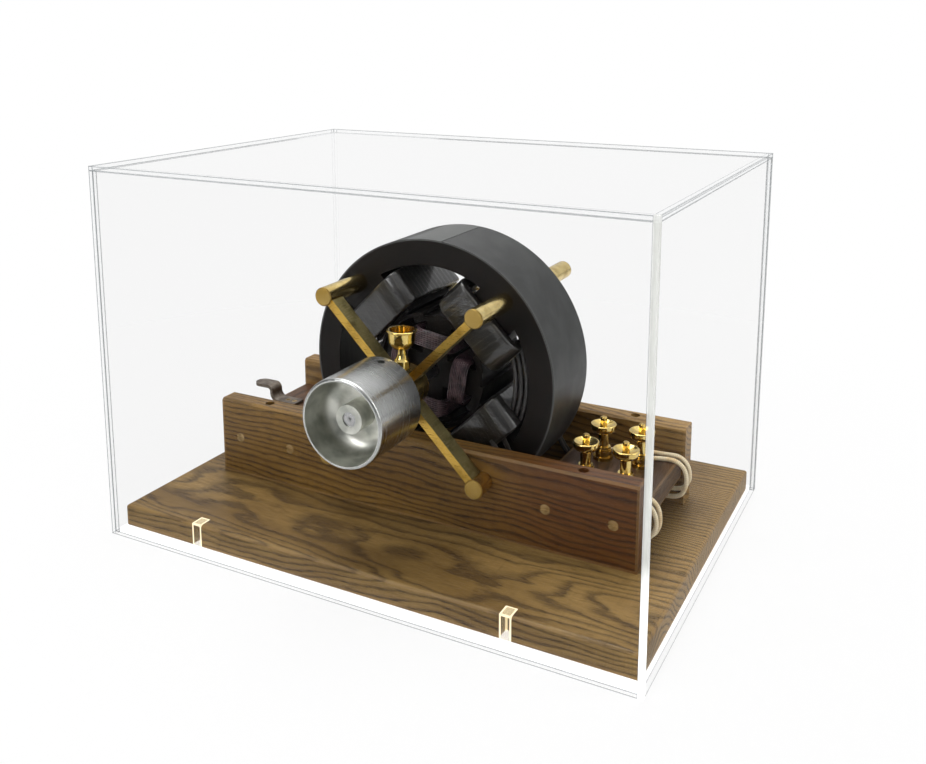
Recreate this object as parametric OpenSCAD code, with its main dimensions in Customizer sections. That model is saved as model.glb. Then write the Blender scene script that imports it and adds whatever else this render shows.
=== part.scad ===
// Two-phase induction motor model on an oak base, under a clear acrylic display cover.
// +X runs along the base towards the binding posts, -Y is the pulley end, +Z is up.
// The origin is at the centre of the cover's footprint, on the table.

/* [Display cover] */
// Outer length of the clear cover
cover_l = 474; // [470:1:520]
// Outer width of the clear cover
cover_w = 344; // [342:1:400]
// Outer height of the clear cover
cover_h = 320; // [290:1:400]
// Thickness of the acrylic panels
panel_t = 4; // [3:0.5:5]
// Thickness of the clear floor plate under the base board
floor_t = 4; // [3:0.5:6]
// Clearance between the cover and the floor plate
cover_gap = 0.5; // [0.3:0.1:1]
// Length of each clear locating block
block_l = 9.5; // [8:0.5:14]
// How far each locating block reaches into the base board
block_w = 11.5; // [8:0.5:16]
// Place of the left locating block along the base
block_left_x = -152; // [-170:1:-120]
// Place of the right locating block along the base
block_right_x = 132; // [110:1:160]

/* [Wooden frame] */
// Gap between each end of the base board and the cover
base_end_gap = 2; // [1:0.5:8]
// Gap between each long side of the base board and the cover
base_side_gap = 8.5; // [2:0.5:16]
// Thickness of the base board
base_t = 19; // [16:0.5:25]
// Radius of the base board's softened top edges
base_edge = 3; // [1:0.5:5]
// How far the two cheeks stop short of each end of the base board
cheek_short = 31; // [24:1:40]
// Height of the two cheeks
cheek_h = 70; // [64:1:78]
// Thickness of the two cheeks
cheek_t = 19; // [17:0.5:22]
// Clear distance between the cheeks
cheek_gap = 108; // [104:1:114]
// Chamfer along the cheeks' top edges
cheek_bevel = 2; // [1:0.5:3]
// Width of each cross board, along the base
cross_w = 90; // [84:1:96]
// Thickness of the cross boards
cross_t = 18; // [15:0.5:20]
// Height of the cross boards' top face above the base board
cross_top = 44; // [40:1:48]
// How far the cross boards stop short of the cheeks' ends
cross_inset = 3; // [1:0.5:6]
// Distance between the two screws in each end of a cross board
screw_pitch = 56; // [48:1:62]
// Diameter of the small screw heads
screw_head_d = 8.5; // [6:0.5:10]
// Diameter of the deep holes in the cheeks' top edges
sunk_d = 8.4; // [7:0.2:10]
// Depth of the deep holes in the cheeks' top edges
sunk_depth = 9; // [6:0.5:12]

/* [Motor place] */
// Motor axis along the base, from the cover's centre
motor_x = -2.5; // [-6:0.5:4]
// Gap between the pulley's rim and the cover's front panel
pulley_room = 5.7; // [3:0.1:12]
// Gap between the ring and the base board
ring_clear = 1.5; // [1:0.5:6]

/* [Field ring] */
// Outer diameter of the ring
ring_d = 231; // [226:1:231]
// Bore of the ring
ring_bore = 186; // [182:1:190]
// Width of the ring along the motor axis
ring_w = 73; // [68:1:76]
// Thickness of the black band round the ring
band_t = 1.5; // [1:0.25:3]
// Angle of the band's lap seam above the axis
seam_angle = 84; // [60:1:120]
// Width of each pole across its coil
pole_w = 44; // [38:1:46]
// Thickness of the curved pole shoes
shoe_t = 3; // [2:0.25:3.5]
// Half of the arc that a pole shoe covers
shoe_half_angle = 38; // [32:1:40]
// Width of each coil across its pole
coil_w = 77; // [72:1:78]
// How far the coils stand out past the ring's faces
coil_proud = 10; // [8:0.5:11]
// Radius of the coils' outer corners
coil_round = 12; // [8:1:14]
// Gap between a coil's outer corners and the ring's bore
coil_gap = 0.65; // [0.4:0.05:3]
// Diameter of the sleeved wires that join the two right-hand coils
jumper_d = 4.4; // [3:0.2:4.8]

/* [Bearing spiders] */
// How far outside the ring's bore the pillars are centred
pillar_in = 6; // [5:0.5:7]
// Diameter of the brass pillars
pillar_d = 16; // [13:0.5:16]
// Chamfer at the free end of each pillar
pillar_bevel = 0.8; // [0.4:0.1:1.5]
// How far the pillars stand out past the arms
pillar_proud = 3; // [1:0.5:6]
// Width of the spider arms, seen from the end
arm_w = 7; // [5:0.2:8]
// Depth of the spider arms along the motor axis
arm_d = 15; // [12:0.5:18]
// Clearance between the arms and the cheeks
arm_gap = 0.8; // [0.5:0.1:2]
// Diameter of the bearing hubs
hub_d = 36; // [32:1:40]
// How far the hubs stand out past the arms, each way
hub_proud = 4.5; // [2:0.5:6]
// Diameter of the hubs' noses
nose_d = 25; // [23:0.5:28]
// Length of the hubs' noses
nose_l = 15; // [8:1:18]
// Diameter of the rods that clamp the pillars through the ring
rod_d = 6; // [5:0.5:8]

/* [Oil cups] */
// Outer diameter of the oil cup's rim
oil_cup_d = 25.2; // [23:0.2:28]
// Height of the oil cup's rim above the motor axis
oil_cup_top = 49.5; // [46:0.5:56]
// Wall of the oil cup
oil_cup_wall = 1.4; // [1:0.1:2]
// Height of the oil cup's bowl
oil_bowl_h = 17; // [15:0.5:19]
// Diameter of the oil cup's neck
oil_neck_d = 7; // [6.5:0.5:9]
// Diameter of the oil cup's foot
oil_foot_d = 13; // [11:0.5:14.5]

/* [Rotor] */
// How far the rotor and pulley stand turned towards the binding posts
rotor_turn = 9; // [0:1:45]
// Diameter of the shaft
shaft_d = 12; // [10:0.5:13]
// Running clearance of the shaft in its bushes, radial
shaft_play = 0.05; // [0.02:0.01:0.1]
// Outer diameter of the bearing bushes
bush_d = 18; // [16.5:0.5:20]
// Diameter of the rotor
rotor_d = 95; // [90:0.5:95]
// Length of the rotor's iron core
rotor_l = 62; // [56:1:66]
// Gap between the rotor and the pole shoes
air_gap = 1; // [0.6:0.1:2]
// Width of each rotor tooth inside its coil
tooth_w = 24; // [20:1:26]
// How far the rotor coils stand out past the core
rotor_coil_proud = 12; // [8:0.5:14]
// Side thickness of the rotor coils
rotor_coil_t = 9; // [6:0.5:9.5]
// Diameter of the shaft's thrust collars
collar_d = 20; // [17:0.5:22]
// Length of the shaft's thrust collars
collar_l = 8; // [6:0.5:9]

/* [Pulley] */
// Outer diameter of the pulley
pulley_d = 71; // [64:0.5:76]
// Length of the pulley
pulley_l = 57.5; // [50:0.5:62]
// Wall of the pulley round its open front
pulley_wall = 2.75; // [2.25:0.25:4]
// Radius of the pulley's rounded front edge
rim_round = 2; // [0.5:0.25:2]
// Depth of the pulley's open front
pulley_depth = 30; // [26:0.5:38]
// Radius between the pulley's wall and the floor of its open front
cup_fillet = 12; // [4:0.5:14]
// Diameter of the pulley's centre boss
boss_d = 23; // [20:0.5:26]
// How far the centre boss lies behind the pulley's rim
boss_back = 11; // [6:0.5:16]
// Gap between the pulley and the front hub's nose
pulley_gap = 4.5; // [1:0.5:8]
// Distance of the set screw from the pulley's back face
set_screw_y = 9.5; // [6:0.5:14]
// Diameter of the set screw
set_screw_d = 6.5; // [5:0.5:7]
// How far the set screw lies below the pulley's surface
set_screw_sunk = 7; // [3:0.5:12]

/* [Binding posts] */
// Distance between the posts along the base
post_pitch_x = 34; // [30:1:38]
// Distance between the posts across the base
post_pitch_y = 42; // [36:1:48]
// How far the posts sit off the terminal board's middle, towards its end
post_shift = 2.7; // [0:0.1:5]
// Diameter of the post base's flange
post_base_d = 17; // [15:0.5:19]
// Height of the post base
post_base_h = 8; // [6:0.5:10]
// Diameter of the post studs
stud_d = 6; // [5:0.5:6.5]
// Running clearance of the thumb nut on its stud, radial
stud_play = 0.06; // [0.03:0.01:0.1]
// Thickness of the loose clamp washer
washer_t = 1.2; // [0.8:0.1:2]
// Diameter of the thumb nut's shank
nut_shank_d = 9; // [8.5:0.5:11]
// Height of the thumb nut's shank
nut_shank_h = 11; // [8:0.5:14]
// Diameter of the thumb nut's dished head
nut_cup_d = 22; // [20:0.5:26]
// Height of the thumb nut's dished head
nut_cup_h = 11; // [9.5:0.5:13]
// Depth of the dish in the thumb nut's head
nut_dish = 3; // [2:0.25:4]
// How far the stud stands out of the thumb nut
stud_proud = 6; // [2:0.5:8]

/* [Cord hook] */
// Width of the bent strap
hook_w = 15; // [12:0.5:18]
// Thickness of the bent strap
hook_t = 3; // [2:0.25:4]
// Height of the hook's tongue above the cross board
hook_h = 14; // [11:0.5:18]
// Length of the hook's tongue
hook_l = 24; // [20:0.5:28]
// Length of the hook's foot
hook_foot = 26; // [22:0.5:30]

/* [Hidden] */

$fn = 96;
eps = 0.01;
over = 1;            // how far a cut runs past a face
fit = 0.1;           // clearance of a pin or a screw in its hole

// The base board fills the cover but for a gap all round
base_l = cover_l - 2 * (panel_t + base_end_gap);
base_w = cover_w - 2 * (panel_t + base_side_gap);
cheek_l = base_l - 2 * cheek_short;

// Heights above the table
base_z = floor_t;
base_top_z = base_z + base_t;
cross_z = base_top_z + cross_top;
axis_z = base_top_z + ring_clear + ring_d / 2;

// Cheeks and cross boards, measured from the middle of the motor
cheek_in = cheek_gap / 2;
cheek_out = cheek_in + cheek_t;
cross_mid = cheek_l / 2 - cross_inset - cross_w / 2;
screw_z = cross_z - cross_t / 2;

// Bearing spiders, measured from the middle of the ring along the motor axis
arm_in = cheek_out + arm_gap;
arm_out = arm_in + arm_d;
pillar_end = arm_out + pillar_proud;
hub_in = arm_in - hub_proud;
hub_out = arm_out + hub_proud;
nose_end = hub_out + nose_l;
pillar_r = ring_bore / 2 + pillar_in;
pillar_half = pillar_r / sqrt(2);

// Pulley and rotor along the motor axis
pulley_back = nose_end + pulley_gap;
pulley_front = pulley_back + pulley_l;
motor_y = -cover_w / 2 + panel_t + pulley_room + pulley_front;
shoe_in_r = rotor_d / 2 + air_gap;
shoe_out_r = shoe_in_r + shoe_t;
coil_out = sqrt(pow(ring_bore / 2, 2) - pow(coil_w / 2, 2)) - coil_gap;
rotor_hub_d = 30;
rotor_tip_t = 5;
rotor_tip_half_angle = 33;
collar_play = 0.5;

// Binding posts
post_x = motor_x + cross_mid + post_shift;
post_z = cross_z;
washer_z = post_z + post_base_h;
nut_z = washer_z + washer_t;
nut_top_z = nut_z + nut_shank_h + nut_cup_h;
stud_top_z = nut_top_z + stud_proud;
lock_nut_h = 5;
stud_low_z = cross_z - cross_t - lock_nut_h - 3;

// Cloth-covered leads: radius, sides, rings for each stretch between two route points
lead_r = 1.9;
lead_sides = 8;
lead_steps = 3;
// A route's first points are measured from the middle of the terminal board's top face,
// and its last ones from the middle of the motor
function from_board(points) = [for (p = points) p + [motor_x + cross_mid, motor_y, cross_z]];
function from_motor(points) = [for (p = points) p + [motor_x, motor_y, axis_z]];
lead_routes = [
    concat(
        from_board([
            [-13.5, -27, 5], [-9.5, -33, 3], [2.5, -46, 2], [30.5, -48, 2], [47.5, -48, 2],
            [55.5, -48, -6], [55.5, -48, -19], [44.5, -48, -27], [0.5, -49, -27]
        ]),
        from_motor([
            [108.5, -50, -99], [94.5, -50, -86], [76.5, -49.5, -60], [63.5, -45, -47]
        ])),
    concat(
        from_board([
            [20.5, -27, 5], [25.5, -32, 3], [34.5, -38, 2], [47.5, -38, 2], [55.5, -38, -6],
            [55.5, -38, -21], [44.5, -38, -30], [0.5, -41, -31]
        ]),
        from_motor([
            [108.5, -42, -100], [94.5, -42, -82], [71.5, -41, -43]
        ])),
    concat(
        from_board([
            [20.5, 27, 5], [25.5, 32, 3], [34.5, 38, 2], [47.5, 38, 2], [55.5, 38, -6],
            [55.5, 38, -21], [44.5, 38, -30], [0.5, 41, -31]
        ]),
        from_motor([
            [108.5, 42, -100], [94.5, 42, -82], [71.5, 41, -43]
        ])),
    concat(
        from_board([
            [-13.5, 27, 5], [-9.5, 33, 3], [2.5, 46, 2], [30.5, 48, 2], [47.5, 48, 2],
            [55.5, 48, -6], [55.5, 48, -19], [44.5, 48, -27], [0.5, 49, -27]
        ]),
        from_motor([
            [108.5, 50, -99], [94.5, 50, -86], [76.5, 49.5, -60], [63.5, 45, -47]
        ]))
];

brass = [0.80, 0.62, 0.25];
oak = [0.42, 0.29, 0.16];
clear = [0.85, 0.93, 0.95, 0.25];
black_tape = [0.10, 0.10, 0.11];

// ---------------------------------------------------------------- shared shapes

// A rectangle with round corners, centred on the origin
module round_rect(w, h, r) {
    square([w - 2 * r, h], center = true);
    square([w, h - 2 * r], center = true);
    for (sx = [-1, 1], sy = [-1, 1])
        translate([sx * (w / 2 - r), sy * (h / 2 - r)])
            circle(r);
}

// Places its children on the motor axis, with +Z of the child pointing to the pulley end
module on_axis(y = 0) {
    translate([motor_x, motor_y - y, axis_z])
        rotate([90, 0, 0])
            children();
}

// Places its children at the rear end of the axis, pointing away from the ring
module on_rear_axis(y = 0) {
    translate([motor_x, motor_y + y, axis_z])
        rotate([-90, 0, 0])
            children();
}

// A screw head with a countersunk underside, its top at z = 0, and a shank below
module wood_screw(head_d, shank_d, length) {
    head_h = (head_d - shank_d) / 2;
    difference() {
        union() {
            translate([0, 0, -head_h])
                cylinder(d1 = shank_d, d2 = head_d, h = head_h);
            translate([0, 0, -length])
                cylinder(d = shank_d, h = length - head_h + eps);
        }
        translate([-head_d, -0.5, -0.9])
            cube([2 * head_d, 1, over]);
    }
}

// Runs its children over the four corners of the binding posts
module at_posts() {
    for (k = [0 : 3])
        at_post(k)
            children();
}

module at_post(k) {
    sx = k % 2 == 0 ? -1 : 1;
    sy = k < 2 ? -1 : 1;
    translate([post_x + sx * post_pitch_x / 2, motor_y + sy * post_pitch_y / 2, 0])
        children();
}

// ---------------------------------------------------------------- display cover

module cover_top() {
    color(clear)
        translate([-cover_l / 2, -cover_w / 2, cover_h - panel_t])
            cube([cover_l, cover_w, panel_t]);
}

// The long panels run the full length, and the short ones fit between them
module long_panel(y) {
    color(clear)
        translate([-cover_l / 2, y, 0])
            cube([cover_l, panel_t, cover_h - panel_t]);
}

module short_panel(x) {
    color(clear)
        translate([x, -cover_w / 2 + panel_t, 0])
            cube([panel_t, cover_w - 2 * panel_t, cover_h - panel_t]);
}

module cover_front() {
    long_panel(-cover_w / 2);
}

module cover_back() {
    long_panel(cover_w / 2 - panel_t);
}

module cover_left() {
    short_panel(-cover_l / 2);
}

module cover_right() {
    short_panel(cover_l / 2 - panel_t);
}

module floor_plate() {
    inset = panel_t + cover_gap;
    color(clear)
        translate([-cover_l / 2 + inset, -cover_w / 2 + inset, 0])
            cube([cover_l - 2 * inset, cover_w - 2 * inset, floor_t]);
}

// Two clear blocks cemented to the floor plate key the base board in place
module locating_blocks() {
    color(clear)
        for (x = [block_left_x, block_right_x])
            translate([x - block_l / 2, -base_w / 2, base_z])
                cube([block_l, block_w, base_t]);
}

// ---------------------------------------------------------------- wooden frame

// Outline of a board's end with the two top corners rounded
module soft_top_profile(w, t, r) {
    translate([0, (t - r) / 2])
        square([w, t - r], center = true);
    translate([0, t / 2])
        square([w - 2 * r, t], center = true);
    for (s = [-1, 1])
        translate([s * (w / 2 - r), t - r])
            circle(r);
}

module base_board() {
    color(oak)
        difference() {
            translate([0, 0, base_z])
                intersection() {
                    rotate([90, 0, 90])
                        translate([0, 0, -base_l / 2])
                            linear_extrude(base_l)
                                soft_top_profile(base_w, base_t, base_edge);
                    rotate([90, 0, 0])
                        translate([0, 0, -base_w / 2])
                            linear_extrude(base_w)
                                soft_top_profile(base_l, base_t, base_edge);
                }
            for (x = [block_left_x, block_right_x])
                translate([x - block_l / 2 - fit, -base_w / 2 - over, base_z - over])
                    cube([block_l + 2 * fit, block_w + over + fit, base_t + 2 * over]);
            at_hold_downs()
                translate([0, 0, base_top_z - hold_down_bite])
                    cylinder(d = hold_down_d, h = hold_down_bite + over);
        }
}

hold_down_d = 4;
hold_down_bite = 14;
hold_down_l = cheek_h - sunk_depth + hold_down_bite;

// The long screws stand at the middle of each cross board, two to a cheek
module at_hold_downs() {
    for (sx = [-1, 1], sy = [-1, 1])
        translate([motor_x + sx * cross_mid, motor_y + sy * (cheek_in + cheek_t / 2), 0])
            children();
}

module at_cheek_screws(front) {
    s = front ? -1 : 1;
    for (sx = [-1, 1], dx = [-1, 1])
        translate([motor_x + sx * cross_mid + dx * screw_pitch / 2, motor_y + s * cheek_out, screw_z])
            rotate([front ? 90 : -90, 0, 0])
                children();
}

cheek_screw_d = 3.5;
cheek_screw_l = 45;

// Outline of a cheek's end with its two top edges bevelled
module cheek_profile() {
    polygon([
        [0, 0], [cheek_t, 0], [cheek_t, cheek_h - cheek_bevel],
        [cheek_t - cheek_bevel, cheek_h], [cheek_bevel, cheek_h], [0, cheek_h - cheek_bevel]
    ]);
}

module cheek(front) {
    y = front ? motor_y - cheek_out : motor_y + cheek_in;
    color(oak)
        difference() {
            translate([motor_x - cheek_l / 2, y, base_top_z])
                rotate([90, 0, 90])
                    linear_extrude(cheek_l)
                        cheek_profile();
            at_hold_downs() {
                translate([0, 0, base_top_z + cheek_h - sunk_depth])
                    cylinder(d = sunk_d, h = sunk_depth + over);
                translate([0, 0, base_top_z - over])
                    cylinder(d = hold_down_d + 2 * fit, h = cheek_h);
            }
            at_cheek_screws(front)
                translate([0, 0, -cheek_t - over]) {
                    cylinder(d = cheek_screw_d, h = cheek_t + 2 * over);
                    translate([0, 0, cheek_t + over - (screw_head_d - cheek_screw_d) / 2])
                        cylinder(d1 = cheek_screw_d, d2 = screw_head_d + over,
                                 h = (screw_head_d - cheek_screw_d) / 2 + over / 2);
                }
            for (sx = [-1, 1])
                translate([motor_x + sx * pillar_half, y - over, axis_z - pillar_half])
                    rotate([-90, 0, 0])
                        cylinder(d = pillar_d + 2 * fit, h = cheek_t + 2 * over);
        }
}

module front_cheek() {
    cheek(true);
}

module rear_cheek() {
    cheek(false);
}

module cross_board(side) {
    difference() {
        translate([motor_x + side * cross_mid - cross_w / 2, motor_y - cheek_in, cross_z - cross_t])
            cube([cross_w, cheek_gap, cross_t]);
        for (front = [true, false])
            at_cheek_screws(front)
                translate([0, 0, -cheek_screw_l])
                    cylinder(d = cheek_screw_d, h = cheek_screw_l);
    }
}

module left_cross_board() {
    color(oak)
        difference() {
            cross_board(-1);
            at_hook_screws()
                translate([0, 0, -hook_screw_l - hook_t])
                    cylinder(d = hook_screw_d, h = hook_screw_l + hook_t + over);
        }
}

module terminal_board() {
    color(oak)
        difference() {
            cross_board(1);
            at_posts()
                translate([0, 0, cross_z - cross_t - over])
                    cylinder(d = stud_d + 2 * fit, h = cross_t + 2 * over);
        }
}

module cheek_screws() {
    color(brass)
        for (front = [true, false])
            at_cheek_screws(front)
                wood_screw(screw_head_d, cheek_screw_d, cheek_screw_l);
}

module hold_down_screws() {
    color("dimgray")
        at_hold_downs()
            translate([0, 0, base_top_z + cheek_h - sunk_depth]) {
                translate([0, 0, -hold_down_l + eps])
                    cylinder(d = hold_down_d, h = hold_down_l);
                difference() {
                    cylinder(d = sunk_d - 2 * fit, h = 3);
                    translate([-sunk_d, -0.6, 2])
                        cube([2 * sunk_d, 1.2, 2]);
                }
            }
}

// ---------------------------------------------------------------- cord hook

hook_screw_d = 2.6;
hook_screw_l = 9;
hook_neck = 1;
hook_top_r = 3;
hook_foot_r = hook_h - hook_t - hook_top_r - hook_neck;
hook_x = motor_x - cross_mid - cross_w / 2 + hook_t;

module at_hook_screws() {
    for (k = [0, 1])
        translate([hook_x + hook_foot * (0.5 + 0.3 * k), motor_y, cross_z + hook_t])
            children();
}

// The strap seen from the front: a foot on the board, a neck and a tongue that hangs over the edge
module hook_profile() {
    translate([hook_foot_r, 0])
        square([hook_foot - hook_foot_r, hook_t]);
    translate([-hook_t, hook_foot_r + hook_t])
        square([hook_t, hook_neck]);
    translate([-hook_l, hook_h])
        square([hook_l - hook_top_r - hook_t, hook_t]);
    translate([hook_foot_r, hook_foot_r + hook_t])
        quarter_bend(hook_foot_r, 180);
    translate([-hook_t - hook_top_r, hook_h - hook_top_r])
        quarter_bend(hook_top_r, 0);
}

// A quarter of a ring that joins two straight parts of the strap
module quarter_bend(inner_r, turn) {
    outer_r = inner_r + hook_t;
    rotate(turn)
        difference() {
            circle(outer_r);
            circle(inner_r);
            translate([-2 * outer_r, -outer_r])
                square(2 * outer_r);
            translate([-outer_r, -2 * outer_r])
                square(2 * outer_r);
        }
}

module cord_hook() {
    color([0.33, 0.29, 0.26])
        difference() {
            translate([hook_x, motor_y + hook_w / 2, cross_z])
                rotate([90, 0, 0])
                    linear_extrude(hook_w)
                        hook_profile();
            translate([hook_x - hook_l + hook_w / 2, motor_y, cross_z + hook_h - over])
                difference() {
                    translate([-hook_w, -hook_w, 0])
                        cube([hook_w, 2 * hook_w, hook_t + 2 * over]);
                    translate([0, 0, -over])
                        cylinder(d = hook_w, h = hook_t + 4 * over);
                }
            at_hook_screws()
                translate([0, 0, -hook_t - over]) {
                    cylinder(d = hook_screw_d + 2 * fit, h = hook_t + 2 * over);
                    translate([0, 0, over + hook_t - 1.4])
                        cylinder(d1 = hook_screw_d, d2 = hook_screw_d + 4, h = 2);
                }
        }
}

module hook_screws() {
    color(brass)
        at_hook_screws()
            wood_screw(hook_screw_d + 2.6, hook_screw_d, hook_screw_l + hook_t);
}

// ---------------------------------------------------------------- field ring and coils

// The laminated ring with its four poles and curved pole shoes
module field_ring() {
    color([0.16, 0.16, 0.17])
        on_axis(-ring_w / 2)
            difference() {
                union() {
                    linear_extrude(ring_w)
                        difference() {
                            circle(d = ring_d - 2 * band_t);
                            circle(d = ring_bore);
                        }
                    linear_extrude(ring_w)
                        for (k = [0 : 3])
                            rotate(45 + 90 * k)
                                translate([shoe_in_r + shoe_t / 2, -pole_w / 2])
                                    square([ring_bore / 2 - shoe_in_r, pole_w]);
                    linear_extrude(ring_w)
                        difference() {
                            circle(shoe_out_r);
                            circle(shoe_in_r);
                            for (k = [0 : 3])
                                rotate(90 * k)
                                    shoe_gap();
                        }
                }
                translate([0, 0, -over])
                    cylinder(r = shoe_in_r, h = ring_w + 2 * over);
                at_rods(-over)
                    cylinder(d = rod_d, h = ring_w + 2 * over);
            }
}

// The wedge left open between two neighbouring pole shoes
module shoe_gap() {
    half = 45 - shoe_half_angle;
    polygon([
        [0, 0], [2 * shoe_out_r * cos(half), -2 * shoe_out_r * sin(half)],
        [2 * shoe_out_r * cos(half), 2 * shoe_out_r * sin(half)]
    ]);
}

// Runs its children over the four clamp rods, in the ring's own axial frame
module at_rods(z) {
    for (sx = [-1, 1], sy = [-1, 1])
        translate([sx * pillar_half, sy * pillar_half, z])
            children();
}

module ring_band() {
    color([0.09, 0.09, 0.09])
        on_axis(-ring_w / 2)
            difference() {
                linear_extrude(ring_w)
                    difference() {
                        circle(d = ring_d);
                        circle(d = ring_d - 2 * band_t);
                    }
                rotate(seam_angle)
                    translate([ring_d / 2 - band_t / 2, -0.4, -over])
                        cube([band_t, 0.8, ring_w + 2 * over]);
            }
}

// A coil wound round its pole: the winding follows the pole's outline, with round outer corners
module coil(turn) {
    inner_w = pole_w + 2 * fit;
    inner_l = ring_w + 2 * fit;
    color(black_tape)
        on_axis()
            rotate(turn)
                translate([shoe_out_r + fit, 0, 0])
                    rotate([0, 90, 0])
                        linear_extrude(coil_out - shoe_out_r - fit)
                            difference() {
                                round_rect(ring_w + 2 * coil_proud, coil_w, coil_round);
                                square([inner_l, inner_w], center = true);
                            }
}

module coil_upper_right() {
    coil(45);
}

module coil_upper_left() {
    coil(135);
}

module coil_lower_left() {
    coil(225);
}

module coil_lower_right() {
    coil(315);
}

jumper_pitch = 5;
jumper_gap = 4;
jumper_in = 5.5;

// Sleeved wires in two rows that join the two right-hand coils across the gap between them
module coil_jumpers() {
    corner = coil_w / sqrt(2);
    reach = ring_bore / 2;
    color(black_tape)
        on_axis()
            intersection() {
                for (row = [0, 1], k = [0 : 2 - row])
                    translate([0, 0, ring_w / 2 - jumper_in - row * jumper_pitch])
                        rotate_extrude()
                            translate([reach - jumper_gap - (k + row / 2) * jumper_pitch, 0])
                                circle(d = jumper_d);
                linear_extrude(ring_w)
                    polygon([[corner, 0], [corner + reach, -reach], [corner + reach, reach]]);
            }
}

// ---------------------------------------------------------------- bearing spiders

rod_bite = 20;

module clamp_rods() {
    color("dimgray")
        on_axis()
            at_rods(-ring_w / 2 - rod_bite)
                cylinder(d = rod_d, h = ring_w + 2 * rod_bite);
}

module pillars() {
    difference() {
        at_rods(ring_w / 2)
            difference() {
                union() {
                    cylinder(d = pillar_d, h = pillar_end - ring_w / 2 - pillar_bevel);
                    translate([0, 0, pillar_end - ring_w / 2 - pillar_bevel])
                        cylinder(d1 = pillar_d, d2 = pillar_d - 2 * pillar_bevel, h = pillar_bevel);
                }
                translate([0, 0, -over])
                    cylinder(d = rod_d, h = rod_bite + over);
            }
        arm_bars(fit);
    }
}

// Four flat bars from the hub to the pillars, set on edge
module arm_bars(extra = 0) {
    for (k = [0 : 3])
        rotate(45 + 90 * k)
            translate([hub_d / 2 - 2, -arm_w / 2 - extra, arm_in - extra])
                cube([pillar_r - hub_d / 2 + 2 + extra, arm_w + 2 * extra, arm_d + 2 * extra]);
}

module arms() {
    difference() {
        arm_bars();
        cylinder(d = hub_d + 2 * fit, h = 2 * arm_out);
    }
}

// Bearing hub with a stepped nose and an oil hole under its cup
module hub(cup_turn) {
    difference() {
        union() {
            translate([0, 0, hub_in])
                cylinder(d = hub_d, h = hub_out - hub_in);
            translate([0, 0, hub_out - eps])
                cylinder(d = nose_d, h = nose_l + eps);
        }
        translate([0, 0, hub_in - over])
            cylinder(d = bush_d, h = nose_end - hub_in + 2 * over);
        translate([0, 0, (arm_in + arm_out) / 2])
            rotate([-90 * cup_turn, 0, 0])
                cylinder(d = oil_spigot_d, h = hub_d);
    }
}

// Plain bronze bush, a little longer than the hub, with a drilled oil hole
module bush(cup_turn) {
    difference() {
        translate([0, 0, hub_in])
            cylinder(d = bush_d, h = nose_end - hub_in + 1);
        translate([0, 0, hub_in - over])
            cylinder(r = shaft_d / 2 + shaft_play, h = nose_end - hub_in + 3 * over);
        translate([0, 0, (arm_in + arm_out) / 2])
            rotate([-90 * cup_turn, 0, 0])
                cylinder(d = oil_bore_d, h = hub_d);
    }
}

module front_pillars() {
    color(brass)
        on_axis()
            pillars();
}

module rear_pillars() {
    color(brass)
        on_rear_axis()
            pillars();
}

module front_arms() {
    color(brass)
        on_axis()
            arms();
}

module rear_arms() {
    color(brass)
        on_rear_axis()
            arms();
}

module front_hub() {
    color(brass)
        on_axis()
            hub(1);
}

module rear_hub() {
    color(brass)
        on_rear_axis()
            hub(-1);
}

module front_bush() {
    color([0.70, 0.48, 0.28])
        on_axis()
            bush(1);
}

module rear_bush() {
    color([0.70, 0.48, 0.28])
        on_rear_axis()
            bush(-1);
}

// ---------------------------------------------------------------- oil cups

oil_spigot_d = 6;
oil_bore_d = 2.5;
oil_foot_h = 2.5;
oil_bell_r = 12.5;
oil_bead = 0.9;
oil_taper = 0.9;
oil_bowl_r = 8.8;

// Half outline of the bowl: a round bottom under a wall that opens a little towards the rim
module bowl_outline(inset, rise) {
    mid_r = oil_cup_d / 2 - oil_bead - oil_taper;
    mid_z = oil_cup_top - oil_bowl_h + oil_bowl_r;
    polygon([
        [0, mid_z - eps], [mid_r - inset, mid_z - eps],
        [mid_r + oil_taper - inset, oil_cup_top], [mid_r + oil_taper - inset, oil_cup_top + rise],
        [0, oil_cup_top + rise]
    ]);
    translate([0, mid_z - oil_bowl_r + inset])
        square([mid_r - oil_bowl_r, oil_bowl_r - inset]);
    intersection() {
        translate([mid_r - oil_bowl_r, mid_z])
            circle(oil_bowl_r - inset);
        translate([0, mid_z - oil_bowl_r])
            square([mid_r, oil_bowl_r]);
    }
}

// Turned open cup: a beaded bowl on a thin neck that spreads like a bell into the foot
module oil_cup() {
    top = oil_cup_top;
    neck_z = top - oil_bowl_h - 1;
    difference() {
        union() {
            cylinder(d = oil_spigot_d, h = neck_z);
            cylinder(d = oil_foot_d, h = hub_d / 2 + oil_foot_h);
            rotate_extrude()
                difference() {
                    square([oil_foot_d / 2, neck_z]);
                    translate([oil_neck_d / 2 + oil_bell_r, neck_z])
                        circle(oil_bell_r);
                }
            cylinder(d = oil_neck_d, h = neck_z + 2);
            rotate_extrude()
                bowl_outline(0, 0);
            translate([0, 0, top - oil_bead])
                rotate_extrude()
                    translate([oil_cup_d / 2 - oil_bead, 0])
                        circle(oil_bead);
        }
        rotate_extrude()
            bowl_outline(oil_cup_wall, over);
        translate([0, 0, -over])
            cylinder(d = oil_bore_d, h = top);
        cylinder(d = 2 * hub_d, h = bush_d / 2 + 2 * fit);
        hub_saddle();
    }
}

// Everything of the hub below the cup's foot, so that only the spigot enters the hub
module hub_saddle() {
    difference() {
        translate([0, hub_d, 0])
            rotate([90, 0, 0])
                cylinder(d = hub_d, h = 2 * hub_d);
        cylinder(d = oil_spigot_d, h = hub_d);
    }
}

module front_oil_cup() {
    color(brass)
        translate([motor_x, motor_y - (arm_in + arm_out) / 2, axis_z])
            oil_cup();
}

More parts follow.
